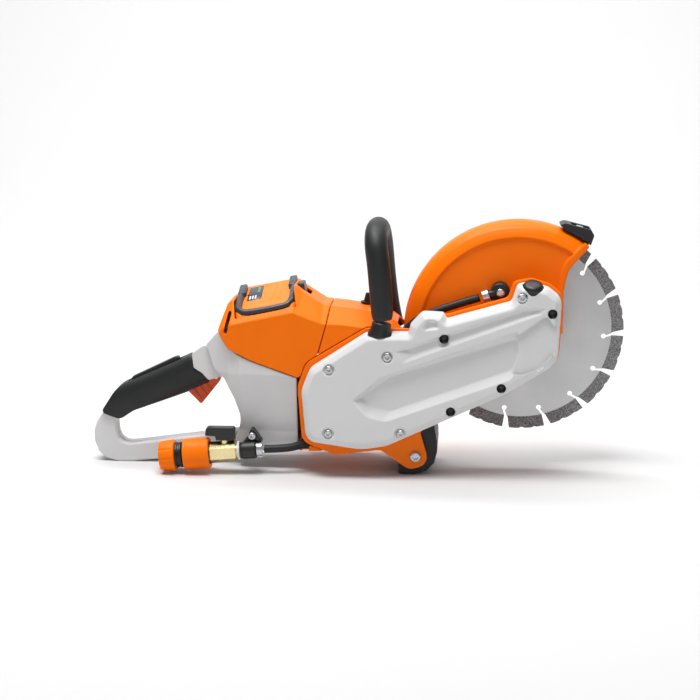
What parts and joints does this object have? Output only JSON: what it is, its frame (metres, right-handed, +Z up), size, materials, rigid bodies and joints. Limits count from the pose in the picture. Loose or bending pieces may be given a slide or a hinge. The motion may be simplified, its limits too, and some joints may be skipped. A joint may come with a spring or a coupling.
{
  "type": "battery rescue saw",
  "caption": "Battery disc cutter with belt-driven arm, adjustable guard, loop rear handle, arched front handle and a water feed with hose coupling.",
  "frame": {"origin": "centre of the machine's box, on the ground it stands on", "axes": "+X forward to the cutting disc, +Y to the operator's left, +Z up"},
  "size_m": [0.6029, 0.1349, 0.2865],
  "materials": {
    "orange": "moulded, satin",
    "case_orange": "die cast, painted",
    "guard_orange": "die cast, painted",
    "battery_orange": "fine texture",
    "pale_grey": "fine texture",
    "black": "fine texture",
    "rubber": "matt",
    "steel": "machined",
    "alloy": "machined",
    "core": "windings on laminations",
    "brass": "turned",
    "trigger_orange": "moulded"
  },
  "bodies": {
    "chassis": {"battery_contacts": "black", "battery_shroud": "orange", "belt_cover": "pale_grey", "body_shell_left": "pale_grey", "body_shell_right": "pale_grey", "bracket_screw": "steel", "controller_board": "black", "coupling_core": "black", "coupling_nut": "orange", "cover_plug_1": "black", "cover_plug_2": "black", "cover_plug_3": "black", "cover_plug_4": "black", "cover_screw_1": "steel", "cover_screw_2": "steel", "cover_screw_3": "steel", "cover_screw_4": "steel", "cover_screw_5": "steel", "drive_belt": "rubber", "drive_case": "case_orange", "foot_screw": "steel", "foot_skid": "rubber", "front_handle": "rubber", "front_handle_socket": "black", "handle_shell_left": "pale_grey", "handle_shell_right": "pale_grey", "hose_bracket": "black", "hose_clamp_rear": "steel", "hose_socket": "black", "motor_shroud": "orange", "motor_stator": "core", "rear_grip": "rubber", "rubber_buffer": "black", "spindle_bearing": "steel", "trigger_pin": "steel", "trigger_switch": "black", "valve_body": "brass", "water_hose": "rubber"},
    "disc": {"diamond_disc": "steel", "inner_flange": "alloy", "outer_flange": "alloy", "disc_bolt": "steel", "spindle": "steel", "spindle_pulley": "alloy"},
    "rotor": {"motor_rotor": "steel", "motor_pulley": "alloy"},
    "guard": {"guard_shell": "guard_orange", "guard_lever": "black", "hose_elbow": "black", "elbow_screw": "steel", "hose_clamp_front": "steel"},
    "trigger": {"trigger": "trigger_orange"},
    "lockout": {"lockout_lever": "black"},
    "water_lever": {"valve_lever": "black"},
    "collar": {"coupling_collar": "orange"},
    "battery": {"battery_pack": "battery_orange", "battery_bail": "black"},
    "battery_button": {"battery_button": "black"},
    "latch": {"battery_latch": "black"},
    "spindle_lock": {"spindle_lock_button": "black"}
  },
  "joints": [
    {"name": "disc_spin", "type": "hinge", "parent": "chassis", "child": "disc", "pos_m": [0.1866, 0.0134, 0.1588], "axis": [0, 1, 0], "continuous": true},
    {"name": "motor_spin", "type": "hinge", "parent": "chassis", "child": "rotor", "pos_m": [-0.0016, 0.0134, 0.088], "axis": [0, 1, 0], "continuous": true},
    {"name": "guard_adjust", "type": "hinge", "parent": "chassis", "child": "guard", "pos_m": [0.1866, 0.0134, 0.1588], "axis": [0, 1, 0], "range_deg": [-20, 30], "deforming": ["water_hose"]},
    {"name": "trigger_pull", "type": "hinge", "parent": "chassis", "child": "trigger", "pos_m": [-0.1591, 0.0134, 0.099], "axis": [0, 1, 0], "range_deg": [0, 8], "stiffness_Nm_per_rad": 0.6, "springref_deg": -11.46},
    {"name": "lockout_press", "type": "hinge", "parent": "chassis", "child": "lockout", "pos_m": [-0.2566, 0.0134, 0.091], "axis": [0, 1, 0], "range_deg": [0, 3], "stiffness_Nm_per_rad": 0.6, "springref_deg": -8.59},
    {"name": "valve_turn", "type": "hinge", "parent": "chassis", "child": "water_lever", "pos_m": [-0.1439, -0.0446, 0.0247], "axis": [0, 0, 1], "range_deg": [0, 90]},
    {"name": "collar_slide", "type": "slide", "parent": "chassis", "child": "collar", "axis": [0.9962, 0, 0.0872], "range_m": [0, 0.0045], "stiffness_N_per_m": 500, "springref_m": -0.003},
    {"name": "battery_slide", "type": "slide", "parent": "chassis", "child": "battery", "axis": [-0.1908, 0, 0.9816], "range_m": [0, 0.13]},
    {"name": "button_press", "type": "slide", "parent": "battery", "child": "battery_button", "axis": [0.1908, 0, -0.9816], "range_m": [0, 0.0015], "stiffness_N_per_m": 400, "springref_m": -0.001},
    {"name": "latch_press", "type": "slide", "parent": "chassis", "child": "latch", "axis": [0.9816, 0, 0.1908], "range_m": [0, 0.003], "stiffness_N_per_m": 600, "springref_m": -0.001},
    {"name": "spindle_lock_press", "type": "slide", "parent": "chassis", "child": "spindle_lock", "axis": [-0.0499, 0.4378, -0.8977], "range_m": [0, 0.004], "stiffness_N_per_m": 600, "springref_m": -0.001}
  ],
  "couplings": [
    {"joint": "motor_spin", "follows": "disc_spin", "ratio": 2.2857}
  ]
}
